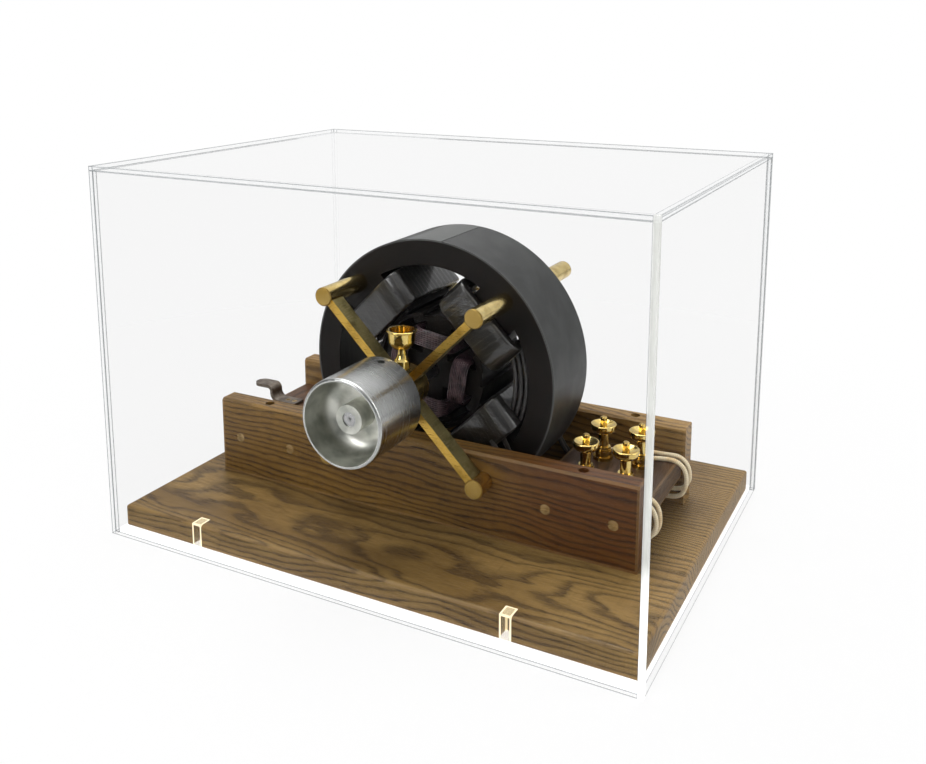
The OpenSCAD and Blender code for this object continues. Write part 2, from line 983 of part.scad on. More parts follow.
module rear_oil_cup() {
    color(brass)
        translate([motor_x, motor_y + (arm_in + arm_out) / 2, axis_z])
            oil_cup();
}

// ---------------------------------------------------------------- rotor

shaft_front = pulley_front - boss_back - 1;
shaft_rear = nose_end + 4;

// Places its children on the rotor, which stands turned by its own angle
module on_rotor(y = 0) {
    on_axis(y)
        rotate(-rotor_turn)
            children();
}

module shaft() {
    color("silver")
        on_axis(-shaft_rear)
            difference() {
                cylinder(d = shaft_d, h = shaft_rear + shaft_front);
                for (z = [0, shaft_rear + shaft_front])
                    translate([0, 0, z])
                        rotate([z == 0 ? 0 : 180, 0, 0])
                            translate([0, 0, -eps])
                                cylinder(d1 = 3, d2 = 0.5, h = 1.5);
            }
}

// Wound rotor core: a hub and four teeth with curved tips
module rotor_core() {
    color([0.25, 0.25, 0.27])
        on_rotor(-rotor_l / 2)
            difference() {
                linear_extrude(rotor_l) {
                    circle(d = rotor_hub_d);
                    intersection() {
                        circle(d = rotor_d - eps);
                        for (k = [0 : 3])
                            rotate(90 * k)
                                translate([0, -tooth_w / 2])
                                    square([rotor_d, tooth_w]);
                    }
                    difference() {
                        circle(d = rotor_d);
                        circle(d = rotor_d - 2 * rotor_tip_t);
                        for (k = [0 : 3])
                            rotate(45 + 90 * k)
                                rotor_gap();
                    }
                }
                translate([0, 0, -over])
                    cylinder(d = shaft_d, h = rotor_l + 2 * over);
            }
}

// The wedge left open between two neighbouring rotor tips
module rotor_gap() {
    half = 45 - rotor_tip_half_angle;
    polygon([
        [0, 0], [rotor_d * cos(half), -rotor_d * sin(half)],
        [rotor_d * cos(half), rotor_d * sin(half)]
    ]);
}

// Four coils, each wound round its tooth and bulging past both ends of the core
module rotor_coils() {
    tip_r = rotor_d / 2 - rotor_tip_t;
    w = tooth_w + 2 * rotor_coil_t;
    top = sqrt(tip_r * tip_r - w * w / 4) - fit;
    bottom = w / 2 + 1;
    color([0.42, 0.27, 0.36])
        on_rotor()
            for (k = [0 : 3])
                rotate(90 * k)
                    translate([bottom, 0, 0])
                        rotate([0, 90, 0])
                            linear_extrude(top - bottom)
                                difference() {
                                    round_rect(rotor_l + 2 * rotor_coil_proud, w, rotor_coil_t);
                                    square([rotor_l + 2 * fit, tooth_w + 2 * fit], center = true);
                                }
}

module thrust_collars() {
    color("silver")
        for (end = [0, 1])
            on_axis(end == 0 ? hub_in - collar_play - collar_l : -(hub_in - collar_play))
                difference() {
                    cylinder(d = collar_d, h = collar_l);
                    translate([0, 0, -over])
                        cylinder(d = shaft_d, h = collar_l + 2 * over);
                    translate([0, 0, collar_l / 2])
                        rotate([-90, 0, 0])
                            cylinder(d = 3, h = collar_d);
                }
}

// Spun cup pulley, open to the front, with a centre boss on the shaft
module pulley() {
    r = pulley_d / 2;
    inner_r = r - pulley_wall;
    floor_z = pulley_l - pulley_depth;
    boss_z = pulley_l - boss_back;
    color([0.72, 0.74, 0.75])
        on_rotor(pulley_back)
            difference() {
                rotate_extrude()
                    difference() {
                        square([r, pulley_l]);
                        difference() {
                            translate([boss_d / 2, floor_z])
                                square([inner_r - boss_d / 2, pulley_depth + over]);
                            difference() {
                                translate([inner_r - cup_fillet, floor_z])
                                    square(cup_fillet);
                                translate([inner_r - cup_fillet, floor_z + cup_fillet])
                                    circle(cup_fillet);
                            }
                        }
                        translate([-over, boss_z])
                            square([boss_d / 2 + over + eps, boss_back + over]);
                        translate([r - rim_round, pulley_l - rim_round])
                            difference() {
                                square(rim_round + over);
                                circle(rim_round);
                            }
                    }
                translate([0, 0, -over])
                    cylinder(d = shaft_d, h = pulley_l);
                translate([0, 0, set_screw_y])
                    rotate([-90, 0, 0])
                        cylinder(d = set_screw_d, h = pulley_d);
            }
}

module pulley_set_screw() {
    color("dimgray")
        on_rotor(pulley_back + set_screw_y)
            rotate([-90, 0, 0])
                difference() {
                    translate([0, 0, shaft_d / 2])
                        cylinder(d = set_screw_d, h = pulley_d / 2 - shaft_d / 2 - set_screw_sunk);
                    translate([-set_screw_d, -0.5, pulley_d / 2 - set_screw_sunk - 1.5])
                        cube([2 * set_screw_d, 1, 3]);
                }
}

// ---------------------------------------------------------------- binding posts

// Turned base: a flange on the board and a waisted body that the lead enters
module post_bases() {
    flange_h = 2.5;
    color(brass)
        at_posts()
            translate([0, 0, post_z])
                difference() {
                    union() {
                        cylinder(d = post_base_d, h = flange_h);
                        cylinder(d = post_base_d - 4, h = post_base_h);
                        translate([0, 0, post_base_h - 1.5])
                            cylinder(d = post_base_d - 2, h = 1.5);
                    }
                    translate([0, 0, -over])
                        cylinder(d = stud_d, h = post_base_h + 2 * over);
                }
}

stud_bevel = 0.8;

module post_studs() {
    color(brass)
        at_posts()
            translate([0, 0, stud_low_z]) {
                cylinder(d = stud_d, h = stud_top_z - stud_low_z - stud_bevel);
                translate([0, 0, stud_top_z - stud_low_z - stud_bevel])
                    cylinder(d1 = stud_d, d2 = stud_d - 2 * stud_bevel, h = stud_bevel);
            }
}

module post_lock_nuts() {
    color(brass)
        at_posts()
            translate([0, 0, cross_z - cross_t - lock_nut_h])
                difference() {
                    cylinder(d = 11.5, h = lock_nut_h, $fn = 6);
                    translate([0, 0, -over])
                        cylinder(d = stud_d, h = lock_nut_h + 2 * over, $fn = 96);
                }
}

module clamp_washer(k) {
    color(brass)
        at_post(k)
            translate([0, 0, washer_z])
                difference() {
                    cylinder(d = post_base_d - 3, h = washer_t);
                    translate([0, 0, -over])
                        cylinder(r = stud_d / 2 + stud_play, h = washer_t + 2 * over);
                }
}

nut_edge = 0.9;
nut_lip = 3;
nut_bowl_r = 5;
nut_foot_d = 12.5;
nut_foot_h = 2;

// Half outline of the thumb nut: a foot, a plain shank and a round-bottomed head
module nut_outline() {
    cup_r = nut_cup_d / 2;
    top = nut_shank_h + nut_cup_h;
    bowl_x = cup_r - nut_bowl_r - 0.4;
    square([nut_foot_d / 2, nut_foot_h]);
    square([nut_shank_d / 2, top - nut_lip]);
    translate([0, top - nut_lip - nut_bowl_r])
        square([bowl_x, nut_bowl_r]);
    translate([bowl_x, top - nut_lip])
        circle(nut_bowl_r);
    translate([0, top - nut_lip])
        square([cup_r, nut_lip - nut_edge]);
    translate([0, top - nut_lip])
        square([cup_r - nut_edge, nut_lip]);
    translate([cup_r - nut_edge, top - nut_edge])
        circle(nut_edge);
}

// The dish in the nut's head is part of a ball that reaches the rounded rim
module thumb_nut(k) {
    top = nut_shank_h + nut_cup_h;
    rim_r = nut_cup_d / 2 - 1.5 * nut_edge;
    dish_r = (rim_r * rim_r + nut_dish * nut_dish) / (2 * nut_dish);
    color(brass)
        at_post(k)
            translate([0, 0, nut_z])
                difference() {
                    rotate_extrude()
                        difference() {
                            intersection() {
                                nut_outline();
                                square([nut_cup_d, top]);
                            }
                            intersection() {
                                translate([0, top - nut_dish + dish_r])
                                    circle(dish_r);
                                translate([0, top - nut_dish])
                                    square([rim_r, nut_dish + over]);
                            }
                        }
                    translate([0, 0, -over])
                        cylinder(r = stud_d / 2 + stud_play, h = top + 2 * over);
                }
}

module clamp_washer_1() {
    clamp_washer(0);
}

module clamp_washer_2() {
    clamp_washer(1);
}

module clamp_washer_3() {
    clamp_washer(2);
}

module clamp_washer_4() {
    clamp_washer(3);
}

module thumb_nut_1() {
    thumb_nut(0);
}

module thumb_nut_2() {
    thumb_nut(1);
}

module thumb_nut_3() {
    thumb_nut(2);
}

module thumb_nut_4() {
    thumb_nut(3);
}

// ---------------------------------------------------------------- leads

function unit(v) = v / norm(v);

// A point on the smooth curve through p1 and p2, at t from 0 to 1
function curve_point(p0, p1, p2, p3, t) =
    0.5 * (2 * p1 + (p2 - p0) * t + (2 * p0 - 5 * p1 + 4 * p2 - p3) * t * t
           + (3 * p1 - p0 - 3 * p2 + p3) * t * t * t);

function smooth_route(p) = concat(
    [for (i = [0 : len(p) - 2], s = [0 : lead_steps - 1])
        curve_point(p[max(i - 1, 0)], p[i], p[i + 1], p[min(i + 2, len(p) - 1)], s / lead_steps)],
    [p[len(p) - 1]]);

function heading(q, i) = unit(q[min(i + 1, len(q) - 1)] - q[max(i - 1, 0)]);

// The sideways direction of each ring, carried along from the ring before it
function sideways(q, i) =
    i == 0 ? unit(cross(heading(q, 0), [0.3, 0.2, 1]))
           : let (before = sideways(q, i - 1), t = heading(q, i)) unit(before - (before * t) * t);

function ring_points(q, r) = [
    for (i = [0 : len(q) - 1])
        let (t = heading(q, i), u = sideways(q, i), v = cross(t, u))
            for (k = [0 : lead_sides - 1])
                q[i] + r * (cos(360 * k / lead_sides) * u + sin(360 * k / lead_sides) * v)
];

module lead(route) {
    q = smooth_route(route);
    n = len(q);
    m = lead_sides;
    sides = [
        for (i = [0 : n - 2], k = [0 : m - 1])
            [i * m + k, i * m + (k + 1) % m, (i + 1) * m + (k + 1) % m, (i + 1) * m + k]
    ];
    ends = [[for (k = [m - 1 : -1 : 0]) k], [for (k = [0 : m - 1]) (n - 1) * m + k]];
    color([0.78, 0.68, 0.50])
        polyhedron(ring_points(q, lead_r), concat([for (f = sides) [f[3], f[2], f[1], f[0]]],
                   [for (f = ends) [for (j = [m - 1 : -1 : 0]) f[j]]]));
}

module lead_1() {
    lead(lead_routes[0]);
}

module lead_2() {
    lead(lead_routes[1]);
}

module lead_3() {
    lead(lead_routes[2]);
}

module lead_4() {
    lead(lead_routes[3]);
}

cover_top();
cover_front();
cover_back();
cover_left();
cover_right();
floor_plate();
locating_blocks();
base_board();
front_cheek();
rear_cheek();
left_cross_board();
terminal_board();
cheek_screws();
hold_down_screws();
cord_hook();
hook_screws();
field_ring();
ring_band();
coil_upper_right();
coil_upper_left();
coil_lower_left();
coil_lower_right();
coil_jumpers();
clamp_rods();
front_pillars();
rear_pillars();
front_arms();
rear_arms();
front_hub();
rear_hub();
front_bush();
rear_bush();
front_oil_cup();
rear_oil_cup();
shaft();
rotor_core();
rotor_coils();
thrust_collars();
pulley();
pulley_set_screw();
post_bases();
post_studs();
post_lock_nuts();
clamp_washer_1();
clamp_washer_2();
clamp_washer_3();
clamp_washer_4();
thumb_nut_1();
thumb_nut_2();
thumb_nut_3();
thumb_nut_4();
lead_1();
lead_2();
lead_3();
lead_4();
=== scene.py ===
import math

import bmesh
import bpy
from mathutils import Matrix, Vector


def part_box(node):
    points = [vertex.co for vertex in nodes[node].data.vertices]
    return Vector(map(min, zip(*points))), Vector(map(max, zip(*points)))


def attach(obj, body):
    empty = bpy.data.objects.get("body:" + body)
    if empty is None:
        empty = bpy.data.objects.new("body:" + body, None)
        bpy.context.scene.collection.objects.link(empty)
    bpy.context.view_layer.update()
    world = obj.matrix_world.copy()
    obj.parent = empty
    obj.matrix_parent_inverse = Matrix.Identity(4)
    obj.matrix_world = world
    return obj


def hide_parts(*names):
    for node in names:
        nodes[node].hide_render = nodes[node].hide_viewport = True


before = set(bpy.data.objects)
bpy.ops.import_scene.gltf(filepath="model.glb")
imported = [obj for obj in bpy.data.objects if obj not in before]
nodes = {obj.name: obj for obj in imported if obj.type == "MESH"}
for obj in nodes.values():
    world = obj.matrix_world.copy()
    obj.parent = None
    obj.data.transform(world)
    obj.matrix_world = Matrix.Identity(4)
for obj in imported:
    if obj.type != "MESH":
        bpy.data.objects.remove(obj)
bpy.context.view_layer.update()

# ---------------------------------------------------------------------------------------------
# Viewpoint: a little right of the pulley end and above the cover, looking down on the motor.
# The lens is shifted down, so the upright edges of the cover stay nearly upright.

camera_place = (0.4051, -0.7443, 0.4292)
camera_turn = 27.663
camera_dip = 10.105
picture_width = 926
focal_pixels = 1004.03
axis_above_middle = 174.4

camera_data = bpy.data.cameras.new("camera")
camera_data.sensor_width = 36
camera_data.lens = focal_pixels / picture_width * 36
camera_data.shift_y = -axis_above_middle / picture_width
camera = bpy.data.objects.new("camera", camera_data)
camera.location = camera_place
camera.rotation_euler = (math.radians(90 - camera_dip), 0, math.radians(camera_turn))
bpy.context.scene.collection.objects.link(camera)
bpy.context.scene.camera = camera
bpy.context.scene.view_settings.view_transform = "Standard"

# ---------------------------------------------------------------------------------------------
# Studio: a white paper floor that runs into a white surround, a wide soft lamp overhead and two
# weaker ones at the sides. Polished metal sees a bright sky, back and right, and a dim front.


class Wire:
    """A socket of a tree of nodes, so that maths on it reads as plain arithmetic."""

    def __init__(self, socket):
        self.socket = socket

    def node(self, kind, settings, sockets, output=0):
        made = self.socket.id_data.nodes.new(kind)
        for name, value in settings.items():
            if name == "stops":
                elements = made.color_ramp.elements
                elements.remove(elements[1])
                elements[0].position, elements[0].color = value[0]
                for at, colour in value[1:]:
                    elements.new(at).color = colour
            else:
                setattr(made, name, value)
        for name, value in sockets.items():
            for one in value if isinstance(value, list) else [value]:
                if isinstance(one, Wire):
                    made.id_data.links.new(one.socket, made.inputs[name])
                else:
                    made.inputs[name].default_value = one
        return Wire(made.outputs[output])

    def maths(self, operation, *values):
        return self.node("ShaderNodeMath", {"operation": operation}, dict(enumerate(values)))

    def __add__(self, other):
        return self.maths("ADD", self, other)

    __radd__ = __add__

    def __sub__(self, other):
        return self.maths("SUBTRACT", self, other)

    def __rsub__(self, other):
        return self.maths("SUBTRACT", other, self)

    def __mul__(self, other):
        return self.maths("MULTIPLY", self, other)

    __rmul__ = __mul__

    def __truediv__(self, other):
        return self.maths("DIVIDE", self, other)

    def __rtruediv__(self, other):
        return self.maths("DIVIDE", other, self)

    def __mod__(self, other):
        return self.maths("MODULO", self, other)

    def __pow__(self, other):
        return self.maths("POWER", self, other)

    def __abs__(self):
        return self.maths("ABSOLUTE", self)

    def between(self, low, high):
        """0 up to low and 1 from high, with a soft step between them."""
        return self.node("ShaderNodeMapRange", {"interpolation_type": "SMOOTHSTEP"},
                         {"Value": self, "From Min": low, "From Max": high})

    def stops(self, *values):
        """A grey level for each place along self, joined by straight lines."""
        ramp = [(at, (grey, grey, grey, 1)) for at, grey in values]
        return self.node("ShaderNodeValToRGB", {"stops": ramp}, {"Fac": self})

    def parts(self):
        split = self.node("ShaderNodeSeparateXYZ", {}, {0: self})
        return [Wire(socket) for socket in split.socket.node.outputs]

    def point(self, x, y, z):
        return self.node("ShaderNodeCombineXYZ", {}, {0: x, 1: y, 2: z})

    def moved(self, place, turn=(0, 0, 0), scale=(1, 1, 1)):
        return self.node("ShaderNodeMapping", {}, {"Vector": self, "Location": place,
                                                   "Rotation": turn, "Scale": scale})

    def stretched(self, *scale):
        return self.moved((0, 0, 0), (0, 0, 0), scale)

    def noise(self, scale, detail=3.0, roughness=0.5):
        return self.node("ShaderNodeTexNoise", {}, {
            "Vector": self, "Scale": scale, "Detail": detail, "Roughness": roughness})

    def mix(self, first, second, how="MIX"):
        """Colour first where self is 0, and second where it is 1."""
        return self.node("ShaderNodeMix", {"data_type": "RGBA", "blend_type": how},
                         {0: self, 6: first, 7: second}, 2)


def new_finish(name):
    """An empty material, and the place on the piece as the wire its pattern starts from."""
    finish = bpy.data.materials.new(name)
    finish.use_nodes = True
    place = Wire(finish.node_tree.nodes.new("ShaderNodeTexCoord").outputs["Object"])
    return finish, place


def surface(finish, sockets, bump=None, height=0.0002, strength=1.0):
    """Fills the sockets of the finish's shader; bump is a height pattern from 0 to 1."""
    tree = finish.node_tree
    shader = tree.nodes["Principled BSDF"]
    for name, value in sockets.items():
        if isinstance(value, Wire):
            tree.links.new(value.socket, shader.inputs[name])
        else:
            shader.inputs[name].default_value = value
    if bump is not None:
        relief = bump.node("ShaderNodeBump", {}, {"Height": bump, "Distance": height,
                                                  "Strength": strength})
        tree.links.new(relief.socket, shader.inputs["Normal"])
    return finish


def rgb(red, green, blue):
    """A colour given as it looks on screen, from 0 to 255, in the linear values shaders use."""
    return tuple(((c / 255 + 0.055) / 1.055) ** 2.4 if c > 10 else c / 3295
                 for c in (red, green, blue)) + (1.0,)


def link(name, mesh):
    piece = bpy.data.objects.new(name, mesh)
    bpy.context.scene.collection.objects.link(piece)
    return piece


floor_size = 30.0
shadow_share = 0.14
shadow_start, shadow_end = 0.25, 0.75
floor_mesh = bpy.data.meshes.new("floor")
floor_mesh.from_pydata([(-floor_size, -floor_size, 0), (floor_size, -floor_size, 0),
                        (floor_size, floor_size, 0), (-floor_size, floor_size, 0)], [],
                       [(0, 1, 2, 3)])
floor = link("floor", floor_mesh)
floor_paper, place = new_finish("floor_paper")
surface(floor_paper, {"Base Color": rgb(240, 240, 240), "Roughness": 0.9,
                      "Specular IOR Level": 0.2})
tree = floor_paper.node_tree
x, y = place.parts()[:2]
away = ((x * x + y * y) ** 0.5).between(shadow_start, shadow_end)
glow = place.node("ShaderNodeEmission", {}, {"Color": (1, 1, 1, 1), "Strength": 1.0})
rays = tree.nodes.new("ShaderNodeLightPath")
seen = Wire(rays.outputs["Is Camera Ray"]) + Wire(rays.outputs["Is Transmission Ray"])
share = seen.maths("MINIMUM", seen, 1.0) * (1 - shadow_share + away * shadow_share)
paper = share.node("ShaderNodeMixShader", {}, {0: share,
                                               1: Wire(tree.nodes["Principled BSDF"].outputs[0]),
                                               2: glow})
tree.links.new(paper.socket, tree.nodes["Material Output"].inputs["Surface"])
floor_mesh.materials.append(floor_paper)

world = bpy.data.worlds.new("surround")
bpy.context.scene.world = world
world.use_nodes = True
tree = world.node_tree
soft_light = tree.nodes["Background"]
soft_light.inputs["Color"].default_value = (1, 1, 1, 1)
soft_light.inputs["Strength"].default_value = 0.45
heading = Wire(tree.nodes.new("ShaderNodeTexCoord").outputs["Generated"])
east, north, up = heading.parts()
rays = tree.nodes.new("ShaderNodeLightPath")
seen = Wire(rays.outputs["Is Camera Ray"]) + Wire(rays.outputs["Is Transmission Ray"])
room = 0.12 + 0.55 * north.between(-0.35, 0.5) + 0.7 * up.between(0.35, 0.85)
room = room + 0.35 * east.between(0.45, 0.9)
mirrored = heading.node("ShaderNodeBackground", {}, {"Color": (1, 1, 1, 1), "Strength": room})
white = heading.node("ShaderNodeBackground", {}, {"Color": (1, 1, 1, 1), "Strength": 1.0})
sky = seen.node("ShaderNodeMixShader", {}, {0: Wire(rays.outputs["Is Glossy Ray"]),
                                            1: Wire(soft_light.outputs[0]), 2: mirrored})
sky = seen.node("ShaderNodeMixShader", {}, {0: seen, 1: sky, 2: white})
tree.links.new(sky.socket, tree.nodes["World Output"].inputs["Surface"])


def lamp(name, place, target, size, power):
    data = bpy.data.lights.new(name, "AREA")
    data.shape = "RECTANGLE"
    data.size, data.size_y = size
    data.energy = power
    thing = bpy.data.objects.new(name, data)
    thing.location = place
    thing.rotation_euler = (Vector(target) - Vector(place)).to_track_quat("-Z", "Y").to_euler()
    bpy.context.scene.collection.objects.link(thing)


lamp("lamp_overhead", (-0.25, 0.2, 1.5), (0, 0, 0.1), (1.3, 1.0), 15)
lamp("lamp_front", (-0.7, -1.6, 0.9), (0, 0, 0.1), (0.8, 0.8), 10)
lamp("lamp_right", (1.6, 0.2, 0.9), (0.1, 0, 0.1), (0.5, 1.2), 7)

# ---------------------------------------------------------------------------------------------
# Base board: one wide plain-sawn oak board with softened top edges, stained dark and varnished
# thin, so that the open grain still shows as dark lines. It drops into the cover.


grain_wander = 0.036
arris_inner, arris_outer = 0.0026, 0.0012


def oak(node, pith, lean, light, dark, line, ring=0.0055, seed=0.0, far=None, gloss=0.4):
    """Stained oak sawn from a log whose pith passes the given point and leans by two angles.
    far is a second colour, the two places along x between which it comes in, and how
    far behind the front face it starts."""
    finish, place = new_finish(node + "_oak")
    low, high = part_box(node)
    across = place.parts()
    in_log = place.moved(tuple(-c for c in pith)).moved((0, 0, 0), (0, lean[0], lean[1]))
    side, up = in_log.parts()[1:]
    drift = in_log.moved((seed, 0, 0), (0, 0, 0), (5, 15, 15))
    side = side + (drift.noise(1.0, 2.0) - 0.5) * grain_wander
    up = up + (drift.moved((7.3, 1.1, 4.2)).noise(1.0, 2.0) - 0.5) * grain_wander
    broad = in_log.moved((seed, 5, 1), (0, 0, 0), (7, 24, 24)).noise(1.0, 3.0)
    waver = in_log.moved((0, 3, seed), (0, 0, 0), (30, 130, 130)).noise(1.0, 4.0, 0.62)
    turns = (side * side + up * up) ** 0.5 / ring + waver * 0.9
    early = turns.maths("FRACT", turns) ** (0.75 + broad * 0.6)
    early = early.stops((0.0, 0.45), (0.06, 1.0), (0.2, 0.9), (0.36, 0.35), (0.55, 0.04),
                        (0.9, 0.05), (1.0, 0.45))
    pores = in_log.moved((0, 0, seed), (0, 0, 0), (70, 1500, 1500)).noise(1.0, 2.0, 0.7)
    pores = pores.between(0.5, 0.66)
    fine = in_log.moved((0, 0, seed), (0, 0, 0), (26, 480, 480)).noise(1.0, 4.0, 0.7)
    rays = place.moved((0, 0, seed), (0, 0, 0), (850, 25, 45)).noise(1.0, 2.0, 0.6)
    tone = broad.between(0.35, 0.66).mix(light, dark)
    tone = (fine.between(0.3, 0.75) * 0.5).mix(tone, dark)
    if far is not None:
        colour, start, end, back = far
        reach = across[1].between(low[1] + back * 0.3 - 0.0001, low[1] + back)
        tone = (across[0].between(start, end) * reach * (0.5 + fine * 0.7)).mix(tone, colour)
    drawn = early * (0.62 + pores * 0.5)
    tone = (drawn.maths("MINIMUM", drawn, 1.0) * 0.93).mix(tone, line)
    tone = (pores * 0.3 + rays.between(0.5, 0.7) * 0.14).mix(tone, line)
    inset = [(top - foot) / 2 - abs(at - (top + foot) / 2)
             for at, foot, top in zip(across, low, high)]
    edges = [distance.between(arris_inner, arris_outer) for distance in inset]
    # Painted highlight: along every edge of the board the colour is lightened toward a pale tan.
    arris_highlight = edges[0] + edges[1] + edges[2]
    arris_highlight = arris_highlight.between(1.2, 1.7) * (0.25 + fine * 0.7)
    tone = (arris_highlight * 0.4).mix(tone, rgb(170, 138, 92))
    relief = 1.0 - (drawn * 0.7 + pores * 0.3)
    return surface(finish, {"Base Color": tone, "Roughness": gloss + pores * 0.15 + fine * 0.1,
                            "Specular IOR Level": 0.28, "Coat Weight": 0.08,
                            "Coat Roughness": 0.2}, relief, 0.00025, 0.6)


def wear(finish, *names):
    """Gives the finish to each of the model's own pieces named."""
    for name in names:
        mesh = nodes[name].data
        mesh.materials.clear()
        mesh.materials.append(finish)


base_oak = oak("base_board", (0.05, -0.112, -0.042), (0.035, 0.02), rgb(154, 124, 72),
               rgb(118, 91, 47), rgb(44, 28, 12), 0.0044, 1.7,
               (rgb(166, 134, 82), 0.17, 0.23, 0.05))
wear(base_oak, "base_board")

# ---------------------------------------------------------------------------------------------
# Cheeks and cross boards: planks of the same oak on edge, screwed together and to the base.
# The front cheek is darker and redder towards the terminal end.

front_oak = oak("front_cheek", (-0.30, -0.13, 0.17), (-0.05, 0.03), rgb(146, 111, 54),
                rgb(112, 82, 38), rgb(32, 18, 7), 0.0044, 4.1, (rgb(96, 54, 20), 0.02, 0.15, 0.0),
                0.34)
wear(front_oak, "front_cheek")
rear_oak = oak("rear_cheek", (-0.22, 0.16, 0.17), (-0.05, 0.02), rgb(178, 142, 84),
               rgb(138, 105, 56), rgb(58, 38, 18), 0.005, 2.6)
wear(rear_oak, "rear_cheek")
left_oak = oak("left_cross_board", (-0.22, 0.16, 0.12), (0.05, 1.57), rgb(120, 84, 52),
               rgb(88, 56, 32), rgb(44, 26, 14), 0.006, 3.3)
wear(left_oak, "left_cross_board")
terminal_oak = oak("terminal_board", (0.2, 0.05, 0.0), (0.02, 1.5), rgb(96, 68, 42),
                   rgb(66, 44, 26), rgb(30, 18, 10), 0.006, 5.2, None, 0.3)
wear(terminal_oak, "terminal_board")

# ---------------------------------------------------------------------------------------------
# Clear cover: five cemented panels of cast acrylic with polished edges. The faces are all but
# invisible. Each corner shows the panel's thickness as a band between two thin lines, painted
# pale with a painted glow for the light its polished edges gather. The front right upright is
# painted nearly white with a painted glow, whitest low down; the rear left one is painted faint.

cover_low, cover_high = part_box("cover_front")
half_x = cover_high[0]
half_y = -cover_low[1]
cover_top_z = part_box("cover_top")[1][2]
panel = cover_top_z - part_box("cover_top")[0][2]
line_width = 0.0007
surface_skip = (0.00003, 0.00006)
haze = 0.0205
corner_reach = (0.1, 0.11)
painted_light_height = (0.10, 0.07)

cover_acrylic, place = new_finish("cover_acrylic")
x, y, z = place.parts()
layers, lines = [], []
for depth in (half_x - abs(x), half_y - abs(y), cover_top_z - z):
    step = abs(depth - panel)
    layers.append(depth.between(panel + 0.0001, panel))
    lines.append(depth.between(*surface_skip) * depth.between(line_width + 0.0001, line_width))
    lines.append(step.between(*surface_skip) * step.between(0.0005, 0.0004))
foot = z.between(*surface_skip) * z.between(line_width + 0.0001, line_width)
line = foot + lines[0] + lines[1] + lines[2] + lines[3] + lines[4] + lines[5]
line = line.maths("MINIMUM", line, 1.0)
band = (layers[0] + layers[1] + layers[2]).between(1.5, 1.6)
# Painted light: mask of the front right upright, which is painted nearly white and glowing.
painted_bright_upright = layers[0] * layers[1] * x.between(*corner_reach) * (0.0 - y).between(*corner_reach)
# Mask of the rear left upright, whose band and lines are painted faint.
painted_faint_upright = x.between(-0.1, -0.11) * y.between(*corner_reach)
shown = 1.0 - painted_faint_upright * z.between(cover_top_z - 0.0035, cover_top_z - 0.0045) * 0.9
clouds = place.stretched(160, 160, 16).noise(1.0, 3.0, 0.6)
# Painted light: low down, the front right upright is painted whiter and glows more.
painted_light_low = z.between(*painted_light_height)
alpha = haze + (band * 0.10 * (0.4 + clouds) + line * 0.5) * shown
alpha = (1.0 - painted_bright_upright) * alpha + painted_bright_upright * (0.68 + painted_light_low * 0.3 + line * 0.1)
# The corner band's pale colour is painted light.
tone = band.mix(rgb(16, 17, 18), rgb(205, 210, 212))
tone = (line * 0.85).mix(tone, rgb(120, 128, 132))
tone = painted_bright_upright.mix(tone, clouds.between(0.35, 0.6).mix(rgb(196, 197, 192), rgb(226, 227, 224)))
unlit = rgb(0, 0, 0)
# Painted glow: the corner bands and the front right upright glow, though they are no lamps.
glow = band.mix(unlit, rgb(120, 122, 124))
glow = (line * shown * (1.0 - painted_light_low * painted_bright_upright)).mix(glow, unlit)
glow = painted_bright_upright.mix(glow, painted_light_low.mix(rgb(118, 119, 116), rgb(225, 225, 225)))
surface(cover_acrylic, {"Base Color": tone, "Roughness": 0.04, "Alpha": alpha,
                        "Emission Color": glow, "Emission Strength": 1.0})
wear(cover_acrylic, "cover_top", "cover_front", "cover_back", "cover_left", "cover_right")

# ---------------------------------------------------------------------------------------------
# Floor plate and locating blocks: the same acrylic, cemented together. The blocks fit notches
# in the base board and keep it in place. The light in their polished edges is painted: the blocks'
# edges and tops are painted cream with a painted glow, and the plate has a painted white glow.

plate_acrylic, place = new_finish("plate_acrylic")
clouds = place.stretched(40, 40, 400).noise(1.0, 2.0)
# Painted light: the plate is painted near white with an even painted glow.
surface(plate_acrylic, {"Base Color": clouds.between(0.3, 0.7).mix(rgb(252, 252, 252),
                                                                  rgb(244, 247, 250)),
                        "Roughness": 0.08, "Alpha": 0.85,
                        "Emission Color": rgb(205, 205, 205), "Emission Strength": 1.0})
wear(plate_acrylic, "floor_plate")

block_low, block_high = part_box("locating_blocks")
block_length = 0.0095
block_acrylic, place = new_finish("block_acrylic")
x, y, z = place.parts()
middle = (block_low[0] + block_high[0]) / 2
apart = (block_high[0] - block_low[0] - block_length) / 2
in_x = block_length / 2 - abs(abs(x - middle) - apart)
in_y = (block_high[1] - block_low[1]) / 2 - abs(y - (block_high[1] + block_low[1]) / 2)
in_z = block_high[2] - z
# Painted light: rim marks the polished edges and top the top faces; both get painted cream light
# and a painted glow.
rim = in_x.between(0.0016, 0.0012) + in_y.between(0.0014, 0.001) + in_z.between(0.0016, 0.0012)
rim = rim.between(1.4, 1.6)
streaks = place.stretched(900, 900, 90).noise(1.0, 2.0)
shade = streaks.between(0.4, 0.6).mix(rgb(214, 196, 158), rgb(150, 128, 96))
top = in_z.between(0.00006, 0.00003)
surface(block_acrylic, {"Base Color": rim.mix(shade, rgb(250, 236, 205)), "Roughness": 0.1,
                        "Alpha": 0.26 + rim * 0.66 + top * (1.0 - rim) * 0.62,
                        "Emission Color": (rim + top * 0.6).mix(rgb(30, 26, 20),
                                                                rgb(190, 176, 140)),
                        "Emission Strength": 1.0})
wear(block_acrylic, "locating_blocks")

# ---------------------------------------------------------------------------------------------
# Screws: brass wood screws through the cheeks, and dark steel ones deep in the top edges.


